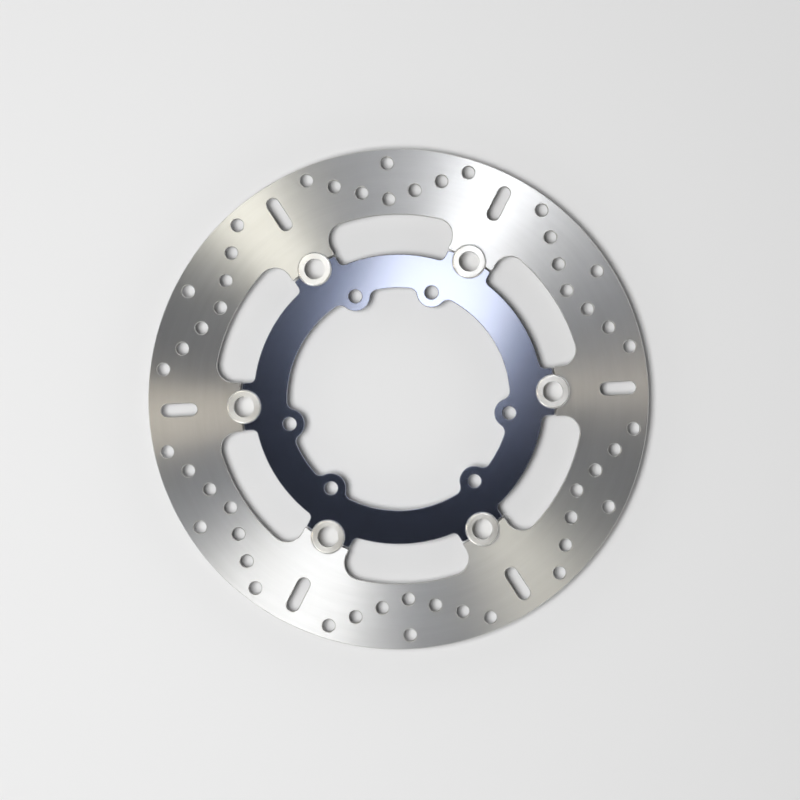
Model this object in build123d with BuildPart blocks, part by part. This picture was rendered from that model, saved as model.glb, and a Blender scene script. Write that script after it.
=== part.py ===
"""Floating motorcycle brake disc: a steel friction ring carried by hollow drive bobbins on a hub carrier.

Frame: +Z is the wheel axle, pointing out of the wheel, and z = 0 is the carrier's mounting face.
The origin is the centre of the bolt circle. Bobbin 1 lies on +X and the others follow anticlockwise.
All dimensions are in millimetres and all angles in degrees.
"""

import os
from math import cos, hypot, radians, sin

from build123d import *

# Stations: six bobbins, and six windows half-way between them
STATION_COUNT = 6
STATION_STEP = 360 / STATION_COUNT
BOBBIN_PITCH_RADIUS = 95.8
LUG_CORNER_RADIUS = 1.0

# Plate heights above the mounting face
MOUNTING_LAND = 1.0
PLATE_THICKNESS = 5.0
PLATE_BACK = MOUNTING_LAND
PLATE_FRONT = PLATE_BACK + PLATE_THICKNESS
EDGE_CHAMFER = 0.4

# Friction ring
ROTOR_RADIUS = 155.0
ROTOR_LUG_RADIUS = 98.0
ROTOR_LUG_HALF_WIDTH = 15.4
WINDOW_OUTER_RADIUS = 114.6
WINDOW_CORNER_RADIUS = 10.5
DRILL_RADIUS = 4.0
# Each drilled hole of half a sector: distance from the axle, angle from the window's centreline
CENTRE_HOLES = [124.0, 146.3]
PAIRED_HOLES = [(129.7, 7.3), (137.5, 14.0), (146.8, 20.0)]
SLOT_LENGTH = 22.5
SLOT_WIDTH = 8.0
SLOT_CENTRE_RADIUS = 136.1

# Carrier
CARRIER_RADIUS = 89.8
CARRIER_LUG_RADIUS = 97.0
CARRIER_LUG_HALF_WIDTH = 14.7
CARRIER_ROOT_RADIUS = 3.4
CARRIER_BORE_RADIUS = 69.0
LAND_RADIUS = 80.0
BOLT_CIRCLE_RADIUS = 69.1
BOLT_HOLE_RADIUS = 4.2
BOLT_PAIR_COUNT = 3
BOLT_PAIR_ANGLE = 90
BOLT_PAIR_HALF_ANGLE = 20
BOSS_RADIUS = 9.2
BOSS_BLEND_RADIUS = 5.0

# Fits between the plates and the bobbins
FLOAT_TRAVEL = 0.25
FLOAT_GAP = FLOAT_TRAVEL + 0.05
POCKET_CLEARANCE = 0.08

# Drive bobbin
BARREL_RADIUS = 8.5
BARREL_BORE_RADIUS = 6.4
BARREL_END_CHAMFER = 0.4
FLANGE_RADIUS = 10.65
FLANGE_THICKNESS = 1.6
FLANGE_OUTER_ROUND = 1.2
FLANGE_BORE_ROUND = 0.8
END_LAND = 1.0
GROOVE_RADIUS = 8.0
GROOVE_WIDTH = 1.1

# Flat washer
WASHER_THICKNESS = 1.0
WASHER_BORE_RADIUS = 8.6
WASHER_RADIUS = 10.6
WASHER_CHAMFER = 0.15

# Wave washer: a spring strip with three crests round the barrel
WAVE_COUNT = 3
WAVE_STOCK = 0.4
WAVE_HEIGHT = 1.1
WAVE_BORE_RADIUS = 8.7
WAVE_RADIUS = 10.4

# Retaining ring: an open snap ring with two drilled ears
RING_THICKNESS = 1.0
RING_BORE_RADIUS = 8.05
RING_RADIUS = 9.9
RING_GAP_HALF_ANGLE = 17
EAR_ANGLE = 26
EAR_PITCH_RADIUS = 10.2
EAR_RADIUS = 1.6
EAR_HOLE_RADIUS = 0.75

# Heights of the stack behind each bobbin, worked back from the plates
FLANGE_BACK = PLATE_FRONT + FLOAT_GAP
FLANGE_FRONT = FLANGE_BACK + FLANGE_THICKNESS
WAVE_FRONT = PLATE_BACK - FLOAT_GAP
WASHER_FRONT = WAVE_FRONT - WAVE_HEIGHT
RING_FRONT = WASHER_FRONT - WASHER_THICKNESS
GROOVE_BACK = RING_FRONT - RING_THICKNESS
GROOVE_FRONT = GROOVE_BACK + GROOVE_WIDTH
BARREL_END = GROOVE_BACK - END_LAND

POCKET_RADIUS = BARREL_RADIUS + POCKET_CLEARANCE
TOUCH = 1e-3


def polar(radius, angle):
    """The point at a distance from the axle and an angle from +X."""
    return (radius * cos(radians(angle)), radius * sin(radians(angle)))


def at_radius(vertices, radius):
    """The vertices that lie at one distance from the axle."""
    return [v for v in vertices if abs(hypot(v.X, v.Y) - radius) < TOUCH]


def level_edges(part, *heights):
    """The edges that lie flat at any of these heights."""
    flat = part.edges().filter_by(Plane.XY)
    return [e for e in flat if min(abs(e.center().Z - z) for z in heights) < TOUCH]


def save(part, name):
    """Labels a finished piece and writes it to its own file."""
    part.label = name
    export_step(part, f"parts/{name}.step")


os.makedirs("parts", exist_ok=True)


# Friction ring: an annulus with six inward lugs, each with half a pocket for its bobbin
with BuildPart() as brake_rotor:
    with BuildSketch(Plane.XY.offset(PLATE_BACK)) as rotor_outline:
        Circle(ROTOR_RADIUS)
        Circle(WINDOW_OUTER_RADIUS, mode=Mode.SUBTRACT)
        with PolarLocations(WINDOW_OUTER_RADIUS, STATION_COUNT):
            Rectangle(2 * (WINDOW_OUTER_RADIUS - BOBBIN_PITCH_RADIUS), 2 * ROTOR_LUG_HALF_WIDTH)
        Circle(ROTOR_LUG_RADIUS, mode=Mode.SUBTRACT)
        fillet(at_radius(rotor_outline.vertices(), WINDOW_OUTER_RADIUS), WINDOW_CORNER_RADIUS)
        fillet(at_radius(rotor_outline.vertices(), ROTOR_LUG_RADIUS), LUG_CORNER_RADIUS)
        with PolarLocations(BOBBIN_PITCH_RADIUS, STATION_COUNT):
            Circle(POCKET_RADIUS, mode=Mode.SUBTRACT)
        with PolarLocations(SLOT_CENTRE_RADIUS, STATION_COUNT):
            SlotOverall(SLOT_LENGTH, SLOT_WIDTH, mode=Mode.SUBTRACT)
        for radius in CENTRE_HOLES:
            with PolarLocations(radius, STATION_COUNT, STATION_STEP / 2):
                Circle(DRILL_RADIUS, mode=Mode.SUBTRACT)
        for radius, angle in PAIRED_HOLES:
            for side in (-angle, angle):
                with PolarLocations(radius, STATION_COUNT, STATION_STEP / 2 + side):
                    Circle(DRILL_RADIUS, mode=Mode.SUBTRACT)
    extrude(amount=PLATE_THICKNESS)
    chamfer(level_edges(brake_rotor, PLATE_BACK, PLATE_FRONT), EDGE_CHAMFER)
save(brake_rotor.part, "brake_rotor")


# Carrier: a ring with six outward lugs, a raised mounting land behind and bolt bosses round the bore
with BuildPart() as carrier:
    with BuildSketch(Plane.XY.offset(PLATE_BACK)) as carrier_outline:
        Circle(CARRIER_RADIUS)
        with PolarLocations(BOBBIN_PITCH_RADIUS, STATION_COUNT):
            Rectangle(2 * BARREL_RADIUS, 2 * CARRIER_LUG_HALF_WIDTH)
        Circle(CARRIER_LUG_RADIUS, mode=Mode.INTERSECT)
        fillet(at_radius(carrier_outline.vertices(), CARRIER_RADIUS), CARRIER_ROOT_RADIUS)
        fillet(at_radius(carrier_outline.vertices(), CARRIER_LUG_RADIUS), LUG_CORNER_RADIUS)
        with PolarLocations(BOBBIN_PITCH_RADIUS, STATION_COUNT):
            Circle(POCKET_RADIUS, mode=Mode.SUBTRACT)
    extrude(amount=PLATE_THICKNESS)
    with BuildSketch():
        Circle(LAND_RADIUS)
    extrude(amount=MOUNTING_LAND)
    with BuildSketch() as hub_opening:
        Circle(CARRIER_BORE_RADIUS)
        for side in (-BOLT_PAIR_HALF_ANGLE, BOLT_PAIR_HALF_ANGLE):
            with PolarLocations(BOLT_CIRCLE_RADIUS, BOLT_PAIR_COUNT, BOLT_PAIR_ANGLE + side):
                Circle(BOSS_RADIUS, mode=Mode.SUBTRACT)
        fillet(at_radius(hub_opening.vertices(), CARRIER_BORE_RADIUS), BOSS_BLEND_RADIUS)
    extrude(amount=PLATE_FRONT, mode=Mode.SUBTRACT)
    with BuildSketch():
        for side in (-BOLT_PAIR_HALF_ANGLE, BOLT_PAIR_HALF_ANGLE):
            with PolarLocations(BOLT_CIRCLE_RADIUS, BOLT_PAIR_COUNT, BOLT_PAIR_ANGLE + side):
                Circle(BOLT_HOLE_RADIUS)
    extrude(amount=PLATE_FRONT, mode=Mode.SUBTRACT)
    outside = [
        e for e in level_edges(carrier, 0, PLATE_BACK, PLATE_FRONT)
        if e.geom_type != GeomType.CIRCLE
        or abs(e.radius - LAND_RADIUS) > TOUCH
        or e.center().Z < TOUCH
    ]
    chamfer(outside, EDGE_CHAMFER)
save(carrier.part, "carrier")


# Drive bobbin: a hollow flanged button, grooved near its rear end for the retaining ring
with BuildPart() as drive_bobbin:
    with BuildSketch(Plane.XZ) as bobbin_profile:
        with BuildLine():
            Polyline(
                (BARREL_BORE_RADIUS, BARREL_END),
                (BARREL_RADIUS, BARREL_END),
                (BARREL_RADIUS, GROOVE_BACK),
                (GROOVE_RADIUS, GROOVE_BACK),
                (GROOVE_RADIUS, GROOVE_FRONT),
                (BARREL_RADIUS, GROOVE_FRONT),
                (BARREL_RADIUS, FLANGE_BACK),
                (FLANGE_RADIUS, FLANGE_BACK),
                (FLANGE_RADIUS, FLANGE_FRONT),
                (BARREL_BORE_RADIUS, FLANGE_FRONT),
                close=True,
            )
        make_face()
        bore_corner, rim_corner = bobbin_profile.vertices().group_by(Axis.Y)[-1].sort_by(Axis.X)
        fillet(rim_corner, FLANGE_OUTER_ROUND)
        fillet(bore_corner, FLANGE_BORE_ROUND)
        chamfer(bobbin_profile.vertices().group_by(Axis.Y)[0], BARREL_END_CHAMFER)
    revolve(axis=Axis.Z)


# Flat washer
with BuildPart() as flat_washer:
    with BuildSketch(Plane.XY.offset(RING_FRONT)):
        Circle(WASHER_RADIUS)
        Circle(WASHER_BORE_RADIUS, mode=Mode.SUBTRACT)
    extrude(amount=WASHER_THICKNESS)
    chamfer(flat_washer.edges().filter_by(GeomType.CIRCLE), WASHER_CHAMFER)


# Wave washer: each third is a strip bent across its own radius, with a crest in the middle and a
# trough at each side where it meets the next third
wave_swing = (WAVE_HEIGHT - WAVE_STOCK) / 2
wave_middle = WAVE_FRONT - WAVE_STOCK - wave_swing
trough = (WAVE_BORE_RADIUS + WAVE_RADIUS) / 2 * sin(radians(180 / WAVE_COUNT))

with BuildPart() as wave_third:
    with BuildSketch(Plane.YZ):
        with BuildLine():
            for centre, rise in ((-trough, -wave_swing), (0, wave_swing), (trough, -wave_swing)):
                for level in (wave_middle, wave_middle + WAVE_STOCK):
                    ThreePointArc(
                        (centre - trough / 2, level),
                        (centre, level + rise),
                        (centre + trough / 2, level),
                    )
            for end in (-1.5 * trough, 1.5 * trough):
                Line((end, wave_middle), (end, wave_middle + WAVE_STOCK))
        make_face()
    extrude(amount=WAVE_RADIUS)
    with BuildSketch(Plane.XY.offset(WASHER_FRONT)):
        Circle(WAVE_RADIUS)
        Circle(WAVE_BORE_RADIUS, mode=Mode.SUBTRACT)
        with BuildLine():
            Polyline(
                (0, 0),
                polar(3 * WAVE_RADIUS, -180 / WAVE_COUNT),
                polar(3 * WAVE_RADIUS, 180 / WAVE_COUNT),
                close=True,
            )
        make_face(mode=Mode.INTERSECT)
    extrude(amount=WAVE_HEIGHT, mode=Mode.INTERSECT)

with BuildPart() as wave_washer:
    with PolarLocations(0, WAVE_COUNT):
        add(wave_third.part)


# Retaining ring: it sits in the bobbin's groove with its gap pointing away from the axle
with BuildPart() as retaining_ring:
    with BuildSketch(Plane.XY.offset(GROOVE_BACK)):
        Circle(RING_RADIUS)
        with Locations(polar(EAR_PITCH_RADIUS, -EAR_ANGLE), polar(EAR_PITCH_RADIUS, EAR_ANGLE)):
            Circle(EAR_RADIUS)
            Circle(EAR_HOLE_RADIUS, mode=Mode.SUBTRACT)
        Circle(RING_BORE_RADIUS, mode=Mode.SUBTRACT)
        with BuildLine():
            Polyline(
                (0, 0),
                polar(2 * RING_RADIUS, -RING_GAP_HALF_ANGLE),
                polar(2 * RING_RADIUS, RING_GAP_HALF_ANGLE),
                close=True,
            )
        make_face(mode=Mode.SUBTRACT)
    extrude(amount=RING_THICKNESS)


# One set of bobbin, washers and ring at each station
STATION_PIECES = {
    "drive_bobbin": drive_bobbin.part,
    "wave_washer": wave_washer.part,
    "flat_washer": flat_washer.part,
    "retaining_ring": retaining_ring.part,
}
for number in range(1, STATION_COUNT + 1):
    angle = (number - 1) * STATION_STEP
    seat = Plane(
        origin=(*polar(BOBBIN_PITCH_RADIUS, angle), 0),
        x_dir=(*polar(1, angle), 0),
        z_dir=(0, 0, 1),
    )
    for name, pattern in STATION_PIECES.items():
        with BuildPart(seat) as piece:
            add(pattern)
        save(piece.part, f"{name}_{number}")
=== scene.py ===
"""Looks for the floating brake disc: materials, a pale floor, soft boxes and a camera straight above."""
import math

import bpy
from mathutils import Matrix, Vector


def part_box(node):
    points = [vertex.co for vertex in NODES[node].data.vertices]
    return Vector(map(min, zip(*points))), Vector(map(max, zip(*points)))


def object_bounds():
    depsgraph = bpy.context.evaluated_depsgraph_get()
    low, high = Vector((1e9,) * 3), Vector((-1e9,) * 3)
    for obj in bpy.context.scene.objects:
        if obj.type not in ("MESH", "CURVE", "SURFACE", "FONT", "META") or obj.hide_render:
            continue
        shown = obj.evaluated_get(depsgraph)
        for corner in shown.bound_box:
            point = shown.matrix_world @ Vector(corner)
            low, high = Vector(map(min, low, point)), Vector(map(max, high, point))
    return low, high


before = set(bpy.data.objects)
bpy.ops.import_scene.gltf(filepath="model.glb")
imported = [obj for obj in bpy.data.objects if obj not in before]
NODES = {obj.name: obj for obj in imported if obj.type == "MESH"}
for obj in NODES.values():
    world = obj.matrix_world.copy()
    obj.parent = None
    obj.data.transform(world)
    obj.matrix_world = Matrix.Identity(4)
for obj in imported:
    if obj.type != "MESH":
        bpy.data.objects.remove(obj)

bpy.context.view_layer.update()
CAD_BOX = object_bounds()

ROTOR_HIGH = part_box("brake_rotor")[1]
ROTOR_RADIUS = ROTOR_HIGH.x
FACE_HEIGHT = ROTOR_HIGH.z

# Camera: straight above, with a long lens
CAMERA_LENS_MM = 130.0
SENSOR_MM = 36.0
VIEW_WIDTH = 3.196 * ROTOR_RADIUS
CAMERA_ROLL = math.radians(-2.85)
CAMERA_OFFSET = Vector((0.0009, -0.0006))
CAMERA_REACH = 100.0

# Floor: it glows a little beyond the key's pool of light, so that it stays pale as far as the horizon
FLOOR_GAP = 0.00005
FLOOR_HEIGHT = CAD_BOX[0].z - FLOOR_GAP
FLOOR_SIZE = 400.0 * ROTOR_RADIUS
FLOOR_COLOUR = (0.84, 0.84, 0.84, 1.0)
FLOOR_ROUGHNESS = 0.9
FLOOR_GLOW = 0.54
GLOW_COLOUR = (1.0, 1.0, 1.0, 1.0)
POOL_CENTRE = (-0.5, -0.1, 0.0)
POOL_FADE = (0.75, 2.3)

# Lights: azimuth from +X and angle from the zenith in degrees, width and height in metres, radiance, colour.
# The panels make the reflections in the metal; the key lights the floor.
PANEL_DISTANCE = 0.9
PANELS = {
    "overhead": (66.0, 6.0, 0.13, 0.145, 5.8, (0.97, 0.98, 1.0)),
    "high": (63.0, 23.5, 0.13, 0.056, 25.0, (0.98, 0.99, 1.0)),
    "cream": (127.0, 29.5, 0.15, 0.5, 3.8, (1.0, 0.96, 0.8)),
    "beige": (181.5, 43.5, 0.17, 0.2, 6.0, (1.0, 0.89, 0.69)),
    "low": (238.5, 34.5, 0.37, 0.54, 2.9, (1.0, 0.98, 0.91)),
    "pale": (299.5, 33.5, 0.17, 0.54, 0.85, (1.0, 0.94, 0.79)),
    "right": (0.5, 35.0, 0.03, 0.87, 1.3, (1.0, 0.87, 0.68)),
}
KEY_DISTANCE = 2.0
KEY = (191.0, 18.0, 1.0, 0.8, 13.6, (1.0, 1.0, 1.0))

# World: height of a direction -> brightness, from the horizon up to the zenith
WORLD_STOPS = {0.0: 0.78, 0.07: 1.35, 0.28: 0.85, 0.52: 0.06, 1.0: 0.005}

# Colours of the rotor: ground faces and their haze, cut walls, dressed edges
STEEL_COLOUR = (0.612, 0.618, 0.635)
STEEL_HAZE = (0.6, 0.6, 0.61)
CUT_DARK = (0.4, 0.39, 0.385)
CUT_LIGHT = (0.56, 0.55, 0.54)
DRESSED_DARK = (0.66, 0.66, 0.65)
DRESSED_LIGHT = (0.8, 0.8, 0.79)

# Colours of the other finishes
ANODISED_COLOUR = (0.094, 0.12, 0.212)
BARE_ALUMINIUM = (0.42, 0.43, 0.46)
PLATED_COLOUR = (0.9, 0.9, 0.9)
PLATED_HAZE = (0.792, 0.792, 0.792)
PLATED_WALL = (0.72, 0.72, 0.72)
ZINC_COLOUR = (0.62, 0.63, 0.65)
STAMPED_RIM = (0.5, 0.49, 0.46)
SPRING_COLOUR = (0.42, 0.4, 0.38)
TEMPER_STRAW = (0.36, 0.3, 0.22)
PHOSPHATE_COLOUR = (0.07, 0.07, 0.075)
OIL_COLOUR = (0.14, 0.125, 0.11)
SCUFFED_STEEL = (0.36, 0.35, 0.34)

# Roughness of a finish, before its grain, haze, edges and walls change it
ROTOR_ROUGHNESS = 0.3
CARRIER_ROUGHNESS = 0.17
BOBBIN_ROUGHNESS = 0.31
WASHER_ROUGHNESS = 0.25

# Slopes, as the upright part of a surface's normal, between which a wall or a flat face fades in
WALL_SLOPE = (0.2, 0.4)
FLAT_SLOPE = (0.9, 0.97)

# Middle of the box that Generated coordinates fill
BOX_MIDDLE = (0.5, 0.5, 0.5)

# Factors on a place: its height left out, marks drawn out down a cut wall, and marks drawn out along a
# rolled strip
IN_PLAN = (1.0, 1.0, 0.0)
DOWN_WALLS = (1.0, 1.0, 0.1)
ALONG_STRIP = (1.0, 14.0, 14.0)

# Anisotropic rotation, in turns, that spreads a highlight across marks instead of along them
QUARTER_TURN = 0.25

# Sockets of a Mix node that mixes colours
MIX_FACTOR, MIX_FIRST, MIX_SECOND, MIX_RESULT = 0, 6, 7, 2


def new_material(name):
    """An empty material with its Principled shader."""
    material = bpy.data.materials.new(name)
    material.use_nodes = True
    tree = material.node_tree
    tree.nodes.clear()
    output = tree.nodes.new("ShaderNodeOutputMaterial")
    shader = tree.nodes.new("ShaderNodeBsdfPrincipled")
    tree.links.new(shader.outputs["BSDF"], output.inputs["Surface"])
    return material, tree, shader


def set_constants(shader, **values):
    """Numbers and colours that are the same all over a surface, straight on the shader's sockets."""
    for name, value in values.items():
        shader.inputs[name.replace("_", " ")].default_value = value


def plug(tree, socket, value):
    """Links another node's output to a socket, or sets a number, a vector or a colour on it."""
    if isinstance(value, bpy.types.NodeSocket):
        tree.links.new(value, socket)
    else:
        socket.default_value = value


def number(tree, operation, *values):
    """The result of a Math node."""
    node = tree.nodes.new("ShaderNodeMath")
    node.operation = operation
    for socket, value in zip(node.inputs, values):
        plug(tree, socket, value)
    return node.outputs["Value"]


def weighted(tree, *pairs, start=0.0):
    """The start value plus the sum of values, each times its weight."""
    result = start
    for value, weight in pairs:
        result = number(tree, "MULTIPLY_ADD", value, weight, result)
    return result


def vector(tree, operation, *values, output="Vector"):
    """The result of a Vector Math node; a length or a distance is its output "Value"."""
    node = tree.nodes.new("ShaderNodeVectorMath")
    node.operation = operation
    for socket, value in zip(node.inputs, values):
        plug(tree, socket, value)
    return node.outputs[output]


def ramp(tree, value, start, end, low=0.0, high=1.0):
    """A smooth step of the value from low at start to high at end."""
    node = tree.nodes.new("ShaderNodeMapRange")
    node.interpolation_type = "SMOOTHSTEP"
    settings = {"Value": value, "From Min": start, "From Max": end, "To Min": low, "To Max": high}
    for name, item in settings.items():
        plug(tree, node.inputs[name], item)
    return node.outputs["Result"]


def noise(tree, place, scale, detail, distortion=0.0):
    """Noise around 0.5."""
    node = tree.nodes.new("ShaderNodeTexNoise")
    plug(tree, node.inputs["Vector"], place)
    node.inputs["Scale"].default_value = scale
    node.inputs["Detail"].default_value = detail
    node.inputs["Distortion"].default_value = distortion
    return node.outputs["Fac"]


def mix_colour(tree, factor, first, second):
    """A colour between two others: the first at factor 0, the second at factor 1."""
    node = tree.nodes.new("ShaderNodeMix")
    node.data_type = "RGBA"
    plug(tree, node.inputs[MIX_FACTOR], factor)
    for index, colour in ((MIX_FIRST, first), (MIX_SECOND, second)):
        plug(tree, node.inputs[index], (*colour, 1.0) if isinstance(colour, tuple) else colour)
    return node.outputs[MIX_RESULT]


def shade(colour, factor):
    """A colour made darker or lighter, no lighter than white."""
    return tuple(min(part * factor, 1.0) for part in colour)


def varied(tree, amount, colour, darkest, lightest):
    """A colour from its darkest shade to its lightest, as the amount goes from 0 to 1."""
    return mix_colour(tree, amount, shade(colour, darkest), shade(colour, lightest))


def coordinates(tree, kind):
    """One output of a Texture Coordinate node."""
    return tree.nodes.new("ShaderNodeTexCoord").outputs[kind]


def middle_place(tree, node_name):
    """Position in metres from the middle of a piece of the named node's size."""
    low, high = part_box(node_name)
    centred = vector(tree, "SUBTRACT", coordinates(tree, "Generated"), BOX_MIDDLE)
    return vector(tree, "MULTIPLY", centred, tuple(high - low))


def part_place(tree):
    """Position in metres in the whole part's frame, so that pieces of one kind don't look alike."""
    return coordinates(tree, "Object")


def ring_noise(tree, place, lines, arc, detail):
    """Noise drawn out along circles about Z: 'lines' per metre of radius, 'arc' changes round the circle."""
    flat = vector(tree, "MULTIPLY", place, IN_PLAN)
    radius = vector(tree, "LENGTH", flat, output="Value")
    along = vector(tree, "MULTIPLY", vector(tree, "NORMALIZE", flat), (arc, arc, 0.0))
    across = tree.nodes.new("ShaderNodeCombineXYZ")
    plug(tree, across.inputs["Z"], number(tree, "MULTIPLY", radius, lines))
    return noise(tree, vector(tree, "ADD", along, across.outputs["Vector"]), scale=1.0, detail=detail)


def face_slopes(tree):
    """Masks from a piece's own normal: flat faces, the chamfers and rounds between, and walls."""
    split = tree.nodes.new("ShaderNodeSeparateXYZ")
    plug(tree, split.inputs["Vector"], coordinates(tree, "Normal"))
    upright = number(tree, "ABSOLUTE", split.outputs["Z"])
    flat = ramp(tree, upright, *FLAT_SLOPE)
    wall = ramp(tree, upright, *WALL_SLOPE, low=1.0, high=0.0)
    edge = weighted(tree, (flat, -1.0), (wall, -1.0), start=1.0)
    return flat, edge, wall


def bump(tree, shader, height, distance):
    """Relief of the given distance in metres on a shader's normal."""
    node = tree.nodes.new("ShaderNodeBump")
    node.inputs["Strength"].default_value = 1.0
    node.inputs["Distance"].default_value = distance
    plug(tree, node.inputs["Height"], height)
    plug(tree, shader.inputs["Normal"], node.outputs["Normal"])


def turn_tangent(tree, shader):
    """Marks that run round Z: the highlight spreads across them."""
    tangent = tree.nodes.new("ShaderNodeTangent")
    tangent.direction_type = "RADIAL"
    tangent.axis = "Z"
    plug(tree, shader.inputs["Tangent"], tangent.outputs["Tangent"])
    set_constants(shader, Anisotropic_Rotation=QUARTER_TURN)


def rotor_steel():
    """Stainless steel, ground in circles on both faces; cut walls and dressed edges."""
    material, tree, shader = new_material("rotor_steel_ground")
    place = middle_place(tree, "brake_rotor")
    flat, edge, wall = face_slopes(tree)
    fine = ring_noise(tree, place, lines=2800.0, arc=6.0, detail=5.0)
    broad = ring_noise(tree, place, lines=260.0, arc=2.5, detail=3.0)
    blotch = noise(tree, place, scale=45.0, detail=3.0)
    striae = noise(tree, vector(tree, "MULTIPLY", place, DOWN_WALLS), scale=1500.0, detail=3.0)
    file_marks = noise(tree, place, scale=500.0, detail=2.0)
    ground = varied(tree, weighted(tree, (fine, 0.35), (broad, 0.65)), STEEL_COLOUR, 0.9, 1.1)
    ground = mix_colour(tree, ramp(tree, blotch, 0.35, 0.75, high=0.25), ground, STEEL_HAZE)
    dressed = mix_colour(tree, file_marks, DRESSED_DARK, DRESSED_LIGHT)
    cut = mix_colour(tree, striae, CUT_DARK, CUT_LIGHT)
    colour = mix_colour(tree, wall, mix_colour(tree, edge, ground, dressed), cut)
    rough = weighted(tree, (broad, 0.04), (fine, 0.02), (wall, 0.12), start=ROTOR_ROUGHNESS)
    plug(tree, shader.inputs["Base Color"], colour)
    plug(tree, shader.inputs["Roughness"], rough)
    set_constants(shader, Metallic=1.0, Anisotropic=1.0)
    turn_tangent(tree, shader)
    bump(tree, shader, weighted(tree, (fine, flat), (striae, wall)), distance=0.00002)
    return material


def anodised_carrier():
    """Aluminium with a dark, slightly blue anodised skin: satin grain, a thinner skin along its edges."""
    material, tree, shader = new_material("anodised_black")
    place = middle_place(tree, "carrier")
    _, edge, wall = face_slopes(tree)
    grain = noise(tree, place, scale=2600.0, detail=3.0)
    mottle = noise(tree, place, scale=55.0, detail=3.0)
    worn = ramp(tree, noise(tree, place, scale=260.0, detail=4.0), 0.4, 0.62, high=0.5)
    skin = varied(tree, weighted(tree, (grain, 0.4), (mottle, 0.6)), ANODISED_COLOUR, 0.88, 1.12)
    colour = mix_colour(tree, number(tree, "MULTIPLY", edge, worn), skin, BARE_ALUMINIUM)
    rough = weighted(tree, (grain, 0.03), (mottle, 0.015), (wall, 0.1), start=CARRIER_ROUGHNESS)
    plug(tree, shader.inputs["Base Color"], colour)
    plug(tree, shader.inputs["Roughness"], rough)
    set_constants(shader, Metallic=1.0, Coat_Weight=1.0, Coat_Roughness=0.136, Coat_IOR=2.26)
    bump(tree, shader, grain, distance=0.000004)
    return material


def bobbin_steel():
    """Turned and plated steel, with fine rings from the lathe."""
    material, tree, shader = new_material("bobbin_plated")
    _, edge, wall = face_slopes(tree)
    rings = ring_noise(tree, middle_place(tree, "drive_bobbin_1"), lines=1500.0, arc=0.6, detail=2.0)
    haze = noise(tree, part_place(tree), scale=230.0, detail=3.0)
    colour = varied(tree, rings, PLATED_COLOUR, 0.93, 1.07)
    colour = mix_colour(tree, ramp(tree, haze, 0.45, 0.75, high=0.4), colour, PLATED_HAZE)
    colour = mix_colour(tree, wall, colour, PLATED_WALL)
    rough = weighted(tree, (haze, 0.03), (rings, 0.03), (edge, -0.1), start=BOBBIN_ROUGHNESS)
    plug(tree, shader.inputs["Base Color"], colour)
    plug(tree, shader.inputs["Roughness"], rough)
    set_constants(shader, Metallic=1.0, Anisotropic=0.3)
    turn_tangent(tree, shader)
    bump(tree, shader, rings, distance=0.000004)
    return material


def washer_zinc():
    """Zinc-plated steel washer: cloudy passivation and a stamped rim."""
    material, tree, shader = new_material("washer_zinc")
    here = part_place(tree)
    _, _, wall = face_slopes(tree)
    cloud = noise(tree, here, scale=240.0, detail=4.0, distortion=0.6)
    speck = noise(tree, here, scale=2400.0, detail=2.0)
    colour = varied(tree, cloud, ZINC_COLOUR, 0.8, 1.15)
    colour = mix_colour(tree, number(tree, "MULTIPLY", wall, 0.6), colour, STAMPED_RIM)
    plug(tree, shader.inputs["Base Color"], colour)
    rough = weighted(tree, (cloud, 0.15), (speck, 0.06), start=WASHER_ROUGHNESS)
    plug(tree, shader.inputs["Roughness"], rough)
    set_constants(shader, Metallic=1.0)
    bump(tree, shader, speck, distance=0.000006)
    return material


def spring_steel():
    """Rolled spring strip: straight rolling lines and a straw-brown temper tint."""
    material, tree, shader = new_material("spring_rolled")
    drawn_out = vector(tree, "MULTIPLY", middle_place(tree, "wave_washer_1"), ALONG_STRIP)
    rolled = noise(tree, drawn_out, scale=180.0, detail=4.0)
    temper = noise(tree, part_place(tree), scale=160.0, detail=2.0)
    colour = varied(tree, rolled, SPRING_COLOUR, 0.75, 1.25)
    colour = mix_colour(tree, ramp(tree, temper, 0.4, 0.7, high=0.6), colour, TEMPER_STRAW)
    plug(tree, shader.inputs["Base Color"], colour)
    plug(tree, shader.inputs["Roughness"], ramp(tree, rolled, 0.3, 0.7, low=0.28, high=0.42))
    set_constants(shader, Metallic=1.0)
    bump(tree, shader, rolled, distance=0.000005)
    return material


def ring_phosphated():
    """Black phosphated spring ring: fine crystals, patches of oil, and scuffs down to the steel."""
    material, tree, shader = new_material("ring_phosphated")
    here = part_place(tree)
    crystal = noise(tree, here, scale=3000.0, detail=4.0)
    oil = ramp(tree, noise(tree, here, scale=420.0, detail=4.0), 0.38, 0.68)
    scuff = ramp(tree, noise(tree, here, scale=800.0, detail=6.0), 0.5, 0.78, high=0.8)
    colour = varied(tree, crystal, PHOSPHATE_COLOUR, 0.4, 1.7)
    colour = mix_colour(tree, number(tree, "MULTIPLY", oil, 0.6), colour, OIL_COLOUR)
    colour = mix_colour(tree, scuff, colour, SCUFFED_STEEL)
    dry_rough = ramp(tree, crystal, 0.3, 0.7, low=0.4, high=0.62)
    plug(tree, shader.inputs["Base Color"], colour)
    plug(tree, shader.inputs["Roughness"], weighted(tree, (oil, -0.14), start=dry_rough))
    plug(tree, shader.inputs["Metallic"], ramp(tree, scuff, 0.0, 1.0, low=0.35))
    bump(tree, shader, crystal, distance=0.00002)
    return material


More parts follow.
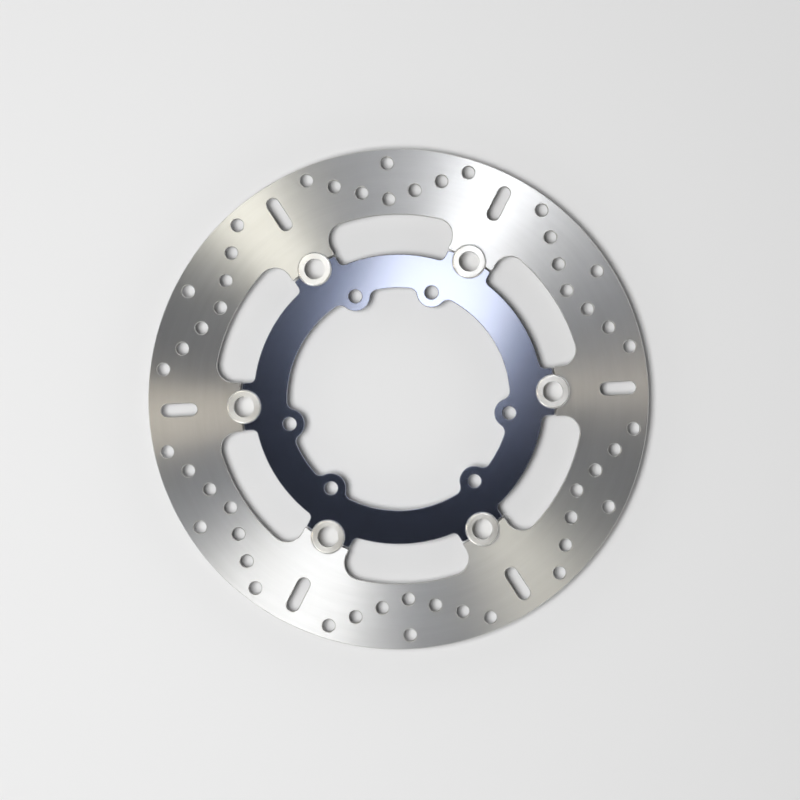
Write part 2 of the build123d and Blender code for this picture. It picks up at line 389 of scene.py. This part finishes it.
def floor_pale():
    """Matt pale floor that glows more and more outside the key's pool of light."""
    material, tree, shader = new_material("floor_pale")
    away = vector(tree, "DISTANCE", part_place(tree), POOL_CENTRE, output="Value")
    glow = ramp(tree, away, *POOL_FADE, high=FLOOR_GLOW)
    set_constants(shader, Base_Color=FLOOR_COLOUR, Roughness=FLOOR_ROUGHNESS, Emission_Color=GLOW_COLOUR)
    plug(tree, shader.inputs["Emission Strength"], glow)
    return material


FINISHES = {
    "brake_rotor": rotor_steel,
    "carrier": anodised_carrier,
    "drive_bobbin": bobbin_steel,
    "flat_washer": washer_zinc,
    "retaining_ring": ring_phosphated,
    "wave_washer": spring_steel,
}


def dress_nodes():
    """Gives every CAD node the finish of its family."""
    materials = {family: finish() for family, finish in FINISHES.items()}
    for name, node in NODES.items():
        family = name if name in materials else name.rsplit("_", 1)[0]
        node.data.materials.clear()
        node.data.materials.append(materials[family])


def make_floor():
    """One large square just under the part."""
    mesh = bpy.data.meshes.new("floor")
    half = FLOOR_SIZE / 2
    corners = [(x, y, FLOOR_HEIGHT) for x, y in ((-half, -half), (half, -half), (half, half), (-half, half))]
    mesh.from_pydata(corners, [], [(0, 1, 2, 3)])
    mesh.materials.append(floor_pale())
    floor = bpy.data.objects.new("floor", mesh)
    bpy.context.scene.collection.objects.link(floor)


def make_panel(name, distance, azimuth, zenith, width, height, radiance, colour):
    """A rectangular area light that faces the disc's centre, this far from it; its width is level."""
    light = bpy.data.lights.new(name, "AREA")
    light.shape = "RECTANGLE"
    light.size = width
    light.size_y = height
    light.energy = radiance * math.pi * width * height
    light.color = colour
    lamp = bpy.data.objects.new(name, light)
    bpy.context.scene.collection.objects.link(lamp)
    azimuth = math.radians(azimuth)
    zenith = math.radians(zenith)
    across = math.sin(zenith)
    out = Vector((math.cos(azimuth) * across, math.sin(azimuth) * across, math.cos(zenith)))
    lamp.location = out * distance
    lamp.rotation_mode = "QUATERNION"
    lamp.rotation_quaternion = (-out).to_track_quat("-Z", "Y")
    lamp.visible_camera = False
    return lamp


def make_world():
    """A soft surround, darker overhead than at the horizon."""
    world = bpy.data.worlds.new("studio")
    bpy.context.scene.world = world
    world.use_nodes = True
    tree = world.node_tree
    tree.nodes.clear()
    output = tree.nodes.new("ShaderNodeOutputWorld")
    background = tree.nodes.new("ShaderNodeBackground")
    tree.links.new(background.outputs["Background"], output.inputs["Surface"])
    split = tree.nodes.new("ShaderNodeSeparateXYZ")
    plug(tree, split.inputs["Vector"], coordinates(tree, "Generated"))
    levels = tree.nodes.new("ShaderNodeValToRGB")
    stops = levels.color_ramp.elements
    while len(stops) < len(WORLD_STOPS):
        stops.new(max(WORLD_STOPS))
    for stop, (height, level) in zip(stops, WORLD_STOPS.items()):
        stop.position = height
        stop.color = (level, level, level, 1.0)
    plug(tree, levels.inputs["Fac"], split.outputs["Z"])
    plug(tree, background.inputs["Color"], levels.outputs["Color"])


def make_camera():
    """Straight above the disc, turned about the view axis."""
    data = bpy.data.cameras.new("camera")
    data.lens = CAMERA_LENS_MM
    data.sensor_width = SENSOR_MM
    data.clip_end = CAMERA_REACH
    distance = VIEW_WIDTH * CAMERA_LENS_MM / SENSOR_MM
    camera = bpy.data.objects.new("camera", data)
    bpy.context.scene.collection.objects.link(camera)
    camera.location = (CAMERA_OFFSET.x, CAMERA_OFFSET.y, FACE_HEIGHT + distance)
    camera.rotation_euler = (0.0, 0.0, CAMERA_ROLL)
    bpy.context.scene.camera = camera


dress_nodes()
make_floor()
for panel_name, settings in PANELS.items():
    make_panel(panel_name, PANEL_DISTANCE, *settings).visible_diffuse = False
make_panel("key", KEY_DISTANCE, *KEY).visible_glossy = False
make_world()
make_camera()
bpy.context.scene.view_settings.view_transform = "Standard"

bpy.context.view_layer.update()
